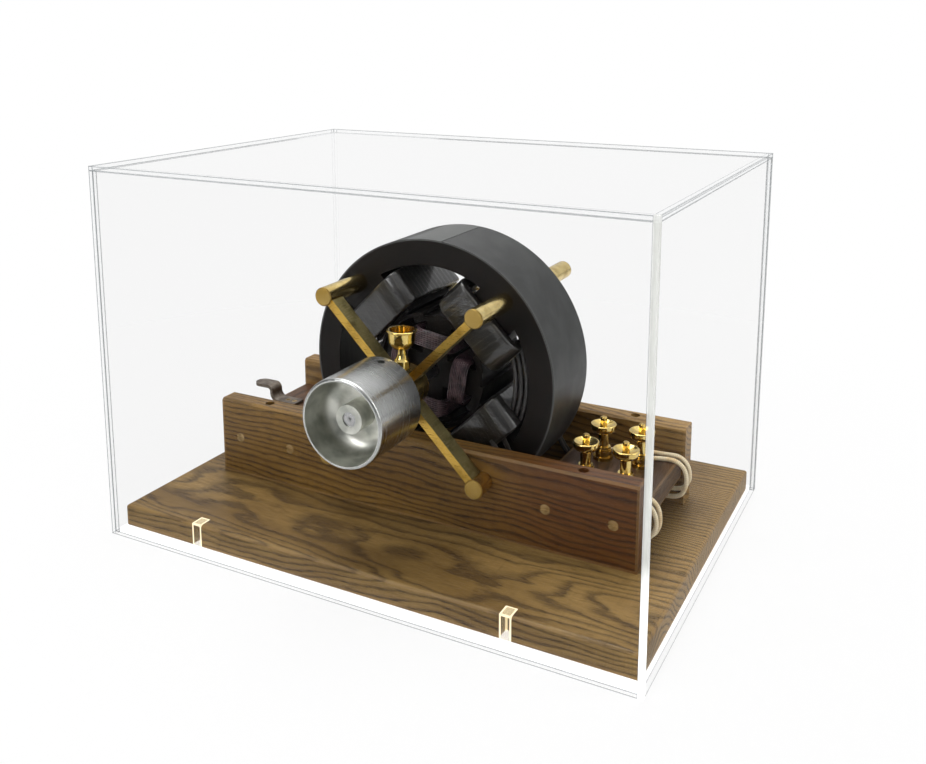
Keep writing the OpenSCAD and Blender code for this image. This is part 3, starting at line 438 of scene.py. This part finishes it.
def turned_metal(name, colour, rough=0.2, axis="y", centre=(0, 0), dull=None, lines=1500,
                 depth=0.5):
    """Lathe-turned metal with fine tool marks round an axis that passes the given centre.
    dull is a second, tarnished tone that comes in as soft stains."""
    finish, place = new_finish(name)
    x, y, z = place.parts()
    one, two, along = (x, z, y) if axis == "y" else (x, y, z)
    one, two = one - centre[0], two - centre[1]
    radius = (one * one + two * two) ** 0.5
    marks = place.point(radius * lines, along * lines, 0.0).noise(1.0, 2.0, 0.6)
    stains = place.noise(70.0, 4.0, 0.6).between(0.42, 0.68)
    darker = tuple(c * 0.72 for c in colour[:3]) + (1.0,)
    tone = (stains * 0.7).mix(colour, dull or darker)
    tone = (marks.between(0.45, 0.7) * 0.25).mix(tone, darker)
    return surface(finish, {"Base Color": tone, "Metallic": 1.0,
                            "Roughness": rough + marks * 0.1 + stains * 0.1},
                   marks, 0.00002, depth)


screw_brass = turned_metal("screw_brass", rgb(186, 160, 112), 0.3, dull=rgb(96, 74, 44))
wear(screw_brass, "cheek_screws", "hook_screws")
dark_steel = turned_metal("dark_steel", rgb(44, 38, 36), 0.4, "z")
wear(dark_steel, "hold_down_screws")

# ---------------------------------------------------------------------------------------------
# Pole ring: sheet iron rings bolted into a pack, with four poles inside. A black band is lapped
# round the rim, and its overlap shows near the top.

motor = (-0.0025, 0.008, 0.140)
ring_width = 0.073
lap_angle = math.radians(84)

black_iron, place = new_finish("black_iron")
y = place.parts()[1]
mottle = place.noise(90.0, 4.0)
sheets = place.point(0.0, y * 900, 0.0).noise(1.0, 1.0)
face = abs(abs(y - motor[1]) - ring_width / 2).between(0.0003, 0.0001)
tone = mottle.between(0.35, 0.65).mix(rgb(18, 11, 7), rgb(11, 7, 4))
tone = (sheets.between(0.45, 0.6) * (1.0 - face)).mix(tone, rgb(48, 46, 44))
surface(black_iron, {"Base Color": tone, "Roughness": 0.4 + mottle * 0.25,
                     "Specular IOR Level": 0.2}, sheets * (1.0 - face) + mottle * 0.3, 0.0001, 0.5)
wear(black_iron, "field_ring", "rotor_core")

black_band, place = new_finish("black_band")
x, y, z = place.parts()
mottle = place.noise(45.0, 5.0, 0.6)
threads = place.point(x * 14, y * 1300, z * 14).noise(1.0, 2.0, 0.6)
angle = (x * 0.0).node("ShaderNodeMath", {"operation": "ARCTAN2"}, {0: z - motor[2],
                                                                   1: x - motor[0]})
lap = angle.between(lap_angle - 0.004, lap_angle + 0.004) * angle.between(1.78, 1.75)
tone = mottle.between(0.35, 0.65).mix(rgb(43, 45, 44), rgb(32, 33, 33))
tone = (threads.between(0.5, 0.7) * 0.5).mix(tone, rgb(30, 29, 29))
tone = (lap * (0.3 + mottle * 0.6)).mix(tone, rgb(96, 98, 96))
edge = (ring_width / 2 - abs(y - motor[1])).between(0.0012, 0.0006)
tone = (edge * 0.5).mix(tone, rgb(92, 94, 92))
surface(black_band, {"Base Color": tone, "Roughness": 0.36 + mottle * 0.2 - lap * 0.08,
                     "Specular IOR Level": 0.5}, threads + lap * 0.5, 0.00012, 0.6)
wear(black_band, "ring_band")

# ---------------------------------------------------------------------------------------------
# Coils: bundles of wire bound with black varnished tape, pushed over the poles. Each turn of
# the tape laps half over the last one. Five sleeved jumpers join the two right-hand coils.

pole_angles = {"upper_right": 45, "upper_left": 135, "lower_left": 225, "lower_right": 315}
coil_axial, coil_across, coil_corner = 0.0926, 0.0764, 0.012
coil_inner_r, coil_outer_r = 0.0520, 0.0836
bundle = 0.0092


def new_pattern(name, sizes):
    """A tree of geometry nodes with a named input for each size, and the wires from them."""
    tree = bpy.data.node_groups.new(name, "GeometryNodeTree")
    for size, value in sizes.items():
        kind = "NodeSocketInt" if isinstance(value, int) else "NodeSocketFloat"
        tree.interface.new_socket(size, in_out="INPUT", socket_type=kind).default_value = value
    tree.interface.new_socket("Finish", in_out="INPUT", socket_type="NodeSocketMaterial")
    tree.interface.new_socket("Geometry", in_out="OUTPUT", socket_type="NodeSocketGeometry")
    start = tree.nodes.new("NodeGroupInput")
    return tree, {socket.name: Wire(socket) for socket in start.outputs if socket.name}


def close_pattern(tree, geometry, sizes):
    solid = geometry.node("GeometryNodeRealizeInstances", {}, {"Geometry": geometry})
    solid = solid.node("GeometryNodeSetShadeSmooth", {}, {"Geometry": solid})
    solid = solid.node("GeometryNodeSetMaterial", {}, {"Geometry": solid,
                                                       "Material": sizes["Finish"]})
    tree.links.new(solid.socket, tree.nodes.new("NodeGroupOutput").inputs["Geometry"])


def grown(name, tree, finish, sizes):
    """A plain mesh of the pattern run with the given sizes."""
    piece = link(name, bpy.data.meshes.new(name))
    modifier = piece.modifiers.new("pattern", "NODES")
    modifier.node_group = tree
    for socket in tree.interface.items_tree:
        if socket.in_out == "INPUT" and socket.name in sizes:
            modifier[socket.identifier] = sizes[socket.name]
        elif socket.name == "Finish":
            modifier[socket.identifier] = finish
    depsgraph = bpy.context.evaluated_depsgraph_get()
    mesh = bpy.data.meshes.new_from_object(piece.evaluated_get(depsgraph), depsgraph=depsgraph)
    piece.modifiers.clear()
    piece.data = mesh
    mesh.name = name
    return piece


def placed_on_pole(geometry, radius, turn):
    """Stands a pattern drawn flat about the origin out along a pole of the motor. Its own x
    runs along the shaft, and its own z away from it."""
    stood = geometry.node("GeometryNodeTransform", {}, {
        "Geometry": geometry, "Translation": geometry.point(radius, 0.0, 0.0),
        "Rotation": (math.pi / 2, 0, math.pi / 2)})
    return stood.node("GeometryNodeTransform", {}, {
        "Geometry": stood, "Translation": motor,
        "Rotation": geometry.point(0.0, turn * -1.0, 0.0)})


tape, place = new_finish("black_tape")
lap = place.node("ShaderNodeAttribute", {"attribute_name": "lap"}, {}, 2)
dust = place.noise(120.0, 4.0, 0.6)
weave = place.noise(1500.0, 1.0)
creases = place.moved((0, 0, 0), (0.6, 0.3, 0.2), (60, 60, 260)).noise(1.0, 3.0, 0.65)
# Painted highlight: each lap edge of the tape is painted lighter, more where the dust noise is
# high.
edge = lap.between(0.62, 0.75)
tone = dust.between(0.4, 0.7).mix(rgb(10, 9, 8), rgb(28, 25, 21))
tone = (edge * (0.1 + dust * 0.5)).mix(tone, rgb(80, 76, 68))
surface(tape, {"Base Color": tone, "Roughness": 0.24 + dust * 0.3, "Specular IOR Level": 0.6,
               "Coat Weight": 0.85, "Coat Roughness": 0.1},
        creases * 0.8 + weave * 0.1 + lap * 0.2, 0.0015, 0.8)

sizes = {"Length": coil_axial, "Width": coil_across, "Corner": coil_corner, "Bundle": bundle,
         "Depth": coil_outer_r - coil_inner_r, "Laps": 46, "Lap Step": 0.035, "Lean": 0.12,
         "Radius": (coil_outer_r + coil_inner_r) / 2, "Turn": 0.0}
tree, size = new_pattern("taped_coil", sizes)
path = size["Length"].node("GeometryNodeCurvePrimitiveQuadrilateral", {"mode": "RECTANGLE"}, {
    "Width": size["Length"] - size["Bundle"], "Height": size["Width"] - size["Bundle"]})
path = path.node("GeometryNodeFilletCurve", {"mode": "POLY"}, {
    "Curve": path, "Count": 6, "Radius": size["Corner"] - size["Bundle"] / 2})
path = path.node("GeometryNodeResampleCurve", {"mode": "COUNT"}, {
    "Curve": path, "Count": size["Laps"] * 4})
path = path.node("GeometryNodeSetCurveNormal", {"mode": "Z_UP"}, {"Curve": path})
lap = path.node("GeometryNodeInputIndex", {}, {}) % 4 / 4
path = path.node("GeometryNodeStoreNamedAttribute", {"data_type": "FLOAT", "domain": "POINT"}, {
    "Geometry": path, "Name": "lap", "Value": lap})
path = path.node("GeometryNodeStoreNamedAttribute", {"data_type": "FLOAT_VECTOR",
                                                     "domain": "POINT"}, {
    "Geometry": path, "Name": "along", "Value": path.node("GeometryNodeInputTangent", {}, {})})
path = path.node("GeometryNodeSetCurveRadius", {}, {"Curve": path,
                                                    "Radius": 1.0 - lap * size["Lap Step"]})
section = path.node("GeometryNodeCurvePrimitiveQuadrilateral", {"mode": "RECTANGLE"}, {
    "Width": size["Bundle"], "Height": size["Depth"]})
section = section.node("GeometryNodeFilletCurve", {"mode": "POLY"}, {
    "Curve": section, "Count": 3, "Radius": 0.0024})
wound = path.node("GeometryNodeCurveToMesh", {}, {"Curve": path, "Profile Curve": section})
along = wound.node("GeometryNodeInputNamedAttribute", {"data_type": "FLOAT_VECTOR"},
                   {"Name": "along"})
height = wound.node("GeometryNodeInputPosition", {}, {}).parts()[2]
wound = wound.node("GeometryNodeSetPosition", {}, {
    "Geometry": wound,
    "Offset": along.node("ShaderNodeVectorMath", {"operation": "SCALE"},
                         {0: along, "Scale": height * size["Lean"]})})
close_pattern(tree, placed_on_pole(wound, size["Radius"], size["Turn"]), size)

for corner, angle in pole_angles.items():
    coil = grown("taped_coil_" + corner, tree, tape, {"Turn": math.radians(angle)})
    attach(coil, "motor")
    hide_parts("coil_" + corner)

sleeving, place = new_finish("black_sleeving")
weave = place.noise(1100.0, 2.0)
dust = place.noise(150.0, 3.0)
surface(sleeving, {"Base Color": dust.between(0.35, 0.7).mix(rgb(20, 18, 18), rgb(44, 40, 40)),
                   "Roughness": 0.3 + weave * 0.2, "Coat Weight": 0.4,
                   "Coat Roughness": 0.15}, weave, 0.0002, 0.6)
wear(sleeving, "coil_jumpers")

# ---------------------------------------------------------------------------------------------
# Bearing spiders: brass pillars bolted to the ring's faces, flat arms on edge let into them,
# and hubs with bronze bushes. Open oil cups are screwed into the hubs.

brass_yellow = rgb(222, 192, 112)
brass_dull = rgb(150, 122, 66)
shaft_line = (motor[0], motor[2])
cup_brass = turned_metal("cup_brass", rgb(226, 200, 124), 0.06, "z", dull=rgb(196, 166, 96),
                         depth=0.2)
wear(cup_brass, "front_oil_cup", "rear_oil_cup")
hub_brass = turned_metal("hub_brass", brass_yellow, 0.16, "y", shaft_line, brass_dull)
wear(hub_brass, "front_hub", "rear_hub")

pillar_end = (0.0903, 0.0906)
pillar_brass, place = new_finish("pillar_brass")
y = place.parts()[1]
drawn = place.stretched(900, 30, 900).noise(1.0, 2.0, 0.6)
stains = place.noise(55.0, 4.0, 0.6).between(0.4, 0.7)
ends = abs(y - motor[1]).between(*pillar_end)
tone = stains.mix(rgb(240, 216, 148), rgb(204, 176, 108))
tone = (ends * 0.8).mix(tone, rgb(150, 118, 48))
surface(pillar_brass, {"Base Color": tone, "Metallic": 1.0,
                       "Roughness": 0.12 + drawn * 0.1 + stains * 0.08 + ends * 0.16},
        drawn, 0.00002, 0.4)
wear(pillar_brass, "front_pillars", "rear_pillars")

arm_brass, place = new_finish("arm_brass")
facing = Wire(arm_brass.node_tree.nodes.new("ShaderNodeTexCoord").outputs["Normal"]).parts()[1]
narrow = abs(facing).between(0.6, 0.9)
scratches = place.moved((0, 0, 0), (0, 0.785, 0), (60, 60, 1400)).noise(1.0, 3.0, 0.7)
crossed = place.moved((0, 0, 0), (0, -0.785, 0), (60, 60, 1400)).noise(1.0, 3.0, 0.7)
brushed = scratches.maths("MAXIMUM", scratches, crossed)
stains = place.noise(60.0, 4.0, 0.6).between(0.4, 0.7)
# Painted reflection: by the way each face points, the wide brushed sides are painted olive-grey
# and the narrow faces gold; the lighter streaks along the brushing are painted highlights.
side = stains.mix(rgb(150, 138, 92), rgb(104, 94, 58))
side = (brushed.between(0.55, 0.75) * 0.6).mix(side, rgb(190, 180, 136))
tone = narrow.mix(side, stains.mix(rgb(194, 158, 76), rgb(152, 120, 52)))
surface(arm_brass, {"Base Color": tone, "Metallic": 1.0,
                    "Roughness": 0.36 - narrow * 0.14 + brushed * 0.12}, brushed, 0.00004, 0.6)
wear(arm_brass, "front_arms", "rear_arms")

bronze = turned_metal("bronze", rgb(150, 108, 70), 0.3, "y", shaft_line)
wear(bronze, "front_bush", "rear_bush")

# ---------------------------------------------------------------------------------------------
# Rotor: a slotted iron core on a steel shaft. Each of its four teeth carries a coil of enamelled
# wire wound by hand in three layers, whose ends bulge past the core.

bright_steel = turned_metal("bright_steel", rgb(176, 176, 176), 0.22, "y", shaft_line)
wear(bright_steel, "shaft", "thrust_collars", "clamp_rods")

rotor_turn = math.radians(9)
enamel, place = new_finish("enamelled_wire")
shades = place.noise(140.0, 3.0, 0.6)
varnish = place.noise(700.0, 2.0)
tone = shades.between(0.35, 0.65).mix(rgb(104, 80, 86), rgb(44, 28, 34))
surface(enamel, {"Base Color": tone, "Roughness": 0.26 + varnish * 0.2, "Specular IOR Level": 0.6,
                 "Coat Weight": 0.3, "Coat Roughness": 0.1}, varnish, 0.0002, 0.4)

sizes = {"Length": 0.0852, "Width": 0.0412, "Corner": 0.0095, "Wire": 0.0015, "Turns": 8,
         "Pitch": 0.00178, "Layer Step": 0.0017, "Lowest": 0.0229, "Looseness": 0.0006}
tree, size = new_pattern("rotor_winding", sizes)
layers = []
for layer in range(3):
    inset = size["Layer Step"] * (2 * layer) + size["Wire"]
    loop = size["Length"].node("GeometryNodeCurvePrimitiveQuadrilateral", {"mode": "RECTANGLE"}, {
        "Width": size["Length"] - inset, "Height": size["Width"] - inset})
    loop = loop.node("GeometryNodeFilletCurve", {"mode": "POLY"}, {
        "Curve": loop, "Count": 6, "Radius": size["Corner"] - inset / 2})
    start = size["Lowest"] + size["Pitch"] * (0.5 * (layer % 2))
    rows = loop.node("GeometryNodeMeshLine", {"mode": "OFFSET"}, {
        "Count": size["Turns"], "Start Location": loop.point(0.0, 0.0, start),
        "Offset": loop.point(0.0, 0.0, size["Pitch"])})
    layers.append(rows.node("GeometryNodeInstanceOnPoints", {}, {"Points": rows,
                                                                "Instance": loop}))
loops = layers[0].node("GeometryNodeJoinGeometry", {}, {"Geometry": layers})
loops = loops.node("GeometryNodeRealizeInstances", {}, {"Geometry": loops})
loops = loops.node("GeometryNodeResampleCurve", {"mode": "COUNT"}, {"Curve": loops, "Count": 60})
place = loops.node("GeometryNodeInputPosition", {}, {})
stray = place.node("ShaderNodeTexNoise", {}, {"Vector": place, "Scale": 130.0, "Detail": 2.0}, 1)
stray = stray.node("ShaderNodeVectorMath", {"operation": "SUBTRACT"}, {0: stray,
                                                                      1: (0.5, 0.5, 0.5)})
stray = stray.node("ShaderNodeVectorMath", {"operation": "SCALE"}, {0: stray,
                                                                   "Scale": size["Looseness"]})
loops = loops.node("GeometryNodeSetPosition", {}, {"Geometry": loops, "Offset": stray})
wire = loops.node("GeometryNodeCurvePrimitiveCircle", {"mode": "RADIUS"}, {
    "Resolution": 6, "Radius": size["Wire"] / 2})
wires = loops.node("GeometryNodeCurveToMesh", {}, {"Curve": loops, "Profile Curve": wire})
teeth = [placed_on_pole(wires, 0.0, wires.maths("ADD", math.radians(90 * k) - rotor_turn, 0.0))
         for k in range(4)]
close_pattern(tree, wires.node("GeometryNodeJoinGeometry", {}, {"Geometry": teeth}), size)
winding = grown("rotor_winding", tree, enamel, {})
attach(winding, "rotor")
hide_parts("rotor_coils")

# ---------------------------------------------------------------------------------------------
# Pulley: a deep cup turned from solid aluminium with a boss in its middle, held on the shaft by
# a set screw sunk in its rim. The outside is polished, and the inside is left as turned.

cup_inside = (0.0335, 0.0325)
aluminium, place = new_finish("turned_aluminium")
x, y, z = place.parts()
radius = ((x - motor[0]) * (x - motor[0]) + (z - motor[2]) * (z - motor[2])) ** 0.5
marks = place.point(radius * 1500, y * 1500, 0.0).noise(1.0, 2.0, 0.6)
inside = radius.between(*cup_inside)
cloud = place.noise(60.0, 3.0).between(0.35, 0.7)
tone = cloud.mix(rgb(190, 191, 190), rgb(181, 183, 180))
tone = (inside * 0.8).mix(tone, cloud.mix(rgb(222, 222, 212), rgb(158, 160, 150)))
surface(aluminium, {"Base Color": tone, "Metallic": 1.0,
                    "Roughness": 0.2 + marks * 0.1 + inside * 0.12 + cloud * 0.02},
        marks, 0.00002, 0.3)
wear(aluminium, "pulley")
wear(dark_steel, "pulley_set_screw")

# ---------------------------------------------------------------------------------------------
# Binding posts: turned brass bases, studs through the terminal board, loose clamp washers, and
# tall thumb nuts with dished heads.

nut_brass = turned_metal("nut_brass", rgb(230, 204, 130), 0.07, "z", dull=rgb(204, 174, 102),
                         depth=0.25)
for k in (1, 2, 3, 4):
    wear(nut_brass, f"thumb_nut_{k}")
post_brass = turned_metal("post_brass", rgb(214, 182, 102), 0.12, "z", dull=rgb(150, 120, 62))
wear(post_brass, "post_bases", "post_studs", "post_lock_nuts", "clamp_washer_1",
     "clamp_washer_2", "clamp_washer_3", "clamp_washer_4")

# ---------------------------------------------------------------------------------------------
# Cord hook: a strap of browned steel, bent up and over into a round-ended tongue.

browned_steel, place = new_finish("browned_steel")
bloom = place.noise(150.0, 4.0)
rub = place.noise(500.0, 2.0).between(0.5, 0.7)
tone = bloom.between(0.3, 0.7).mix(rgb(122, 112, 100), rgb(76, 65, 57))
surface(browned_steel, {"Base Color": (rub * 0.4).mix(tone, rgb(140, 130, 120)),
                        "Metallic": 0.7, "Roughness": 0.34 + bloom * 0.2}, bloom, 0.0001, 0.3)
wear(browned_steel, "cord_hook")

# ---------------------------------------------------------------------------------------------
# Leads: stranded wire in braided cotton. They leave the posts, hang over the end of the terminal
# board and go back under it to the lower right coil. Near the coil they are painted dark: painted
# shade.

lead_radius = 0.0019
board_middle = (0.147, 0.008, 0.067)
near_board = [
    [(-13.5, -27, 5), (-9.5, -33, 3), (2.5, -46, 2), (30.5, -48, 2), (47.5, -48, 2),
     (55.5, -48, -6), (55.5, -48, -19), (44.5, -48, -27), (0.5, -49, -27)],
    [(20.5, -27, 5), (25.5, -32, 3), (34.5, -38, 2), (47.5, -38, 2), (55.5, -38, -6),
     (55.5, -38, -21), (44.5, -38, -30), (0.5, -41, -31)],
]
near_motor = [[(108.5, -50, -99), (94.5, -50, -86), (76.5, -49.5, -60), (63.5, -45, -47)],
              [(108.5, -42, -100), (94.5, -42, -82), (71.5, -41, -43)]]
ring_steps, ring_sides = 9, 14
painted_shade_start, painted_shade_fade = 0.104, 0.012

cotton, place = new_finish("braided_cotton")
run = Wire(cotton.node_tree.nodes.new("ShaderNodeTexCoord").outputs["UV"]).parts()
twist, length = run[0] * (2 * math.pi * 6), run[1] * (2 * math.pi * 330)
right, left = (twist + length).maths("SINE", twist + length), \
    (twist - length).maths("SINE", twist - length)
braid = (right * left * 0.5 + 0.5) * 0.8 + place.noise(1600.0, 2.0) * 0.2
soil = place.noise(90.0, 3.0).between(0.4, 0.7)
tone = soil.mix(rgb(255, 242, 208), rgb(238, 212, 164))
# Painted shade: the braid is painted darker in its grooves.
tone = (braid.between(0.5, 0.2) * 0.45).mix(tone, rgb(170, 136, 88))
# Painted shade: near the coil the leads are painted nearly black.
painted_shade_near_coil = place.parts()[0].between(painted_shade_start + painted_shade_fade, painted_shade_start)
tone = painted_shade_near_coil.mix(tone, rgb(34, 26, 18))
surface(cotton, {"Base Color": tone, "Roughness": 0.8, "Sheen Weight": 0.2}, braid, 0.0004, 0.6)


def smooth_route(points):
    """Points close together on the smooth curve through the given ones."""
    p = [points[0]] + points + [points[-1]]
    out = []
    for i in range(1, len(p) - 2):
        for s in range(ring_steps):
            t = s / ring_steps
            out.append(0.5 * (2 * p[i] + (p[i + 1] - p[i - 1]) * t
                              + (2 * p[i - 1] - 5 * p[i] + 4 * p[i + 1] - p[i + 2]) * t * t
                              + (3 * p[i] - p[i - 1] - 3 * p[i + 1] + p[i + 2]) * t ** 3))
    return out + [points[-1]]


def tube(name, path, radius, finish):
    """A closed round tube along the path, with a UV map that runs round it and along it."""
    form = bmesh.new()
    uv = form.loops.layers.uv.new("run")
    rings, runs, side, run = [], [], None, 0.0
    for i, point in enumerate(path):
        ahead = (path[min(i + 1, len(path) - 1)] - path[max(i - 1, 0)]).normalized()
        if side is None:
            side = ahead.cross(Vector((0.3, 0.2, 1)))
        side = (side - ahead * side.dot(ahead)).normalized()
        other = ahead.cross(side)
        run += (point - path[i - 1]).length if i else 0.0
        runs.append(run)
        rings.append([form.verts.new(point + radius * (math.cos(a) * side + math.sin(a) * other))
                      for a in (2 * math.pi * k / ring_sides for k in range(ring_sides))])
    for i in range(len(rings) - 1):
        for k in range(ring_sides):
            face = form.faces.new((rings[i][k], rings[i][(k + 1) % ring_sides],
                                   rings[i + 1][(k + 1) % ring_sides], rings[i + 1][k]))
            face.smooth = True
            places = ((k, i), (k + 1, i), (k + 1, i + 1), (k, i + 1))
            for corner, (around, step) in zip(face.loops, places):
                corner[uv].uv = (around / ring_sides, runs[step])
    form.faces.new(rings[0][::-1])
    form.faces.new(rings[-1])
    mesh = bpy.data.meshes.new(name)
    form.to_mesh(mesh)
    form.free()
    mesh.materials.append(finish)
    return link(name, mesh), run


for k, (which, side) in enumerate(((0, 1), (1, 1), (1, -1), (0, -1)), start=1):
    route = []
    for start, points in ((board_middle, near_board[which]), (motor, near_motor[which])):
        route += [Vector(start) + Vector((x, side * y, z)) / 1000 for x, y, z in points]
    path = smooth_route(route)
    lead, length = tube(f"braided_lead_{k}", path, lead_radius, cotton)
    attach(lead, "motor")
    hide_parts(f"lead_{k}")
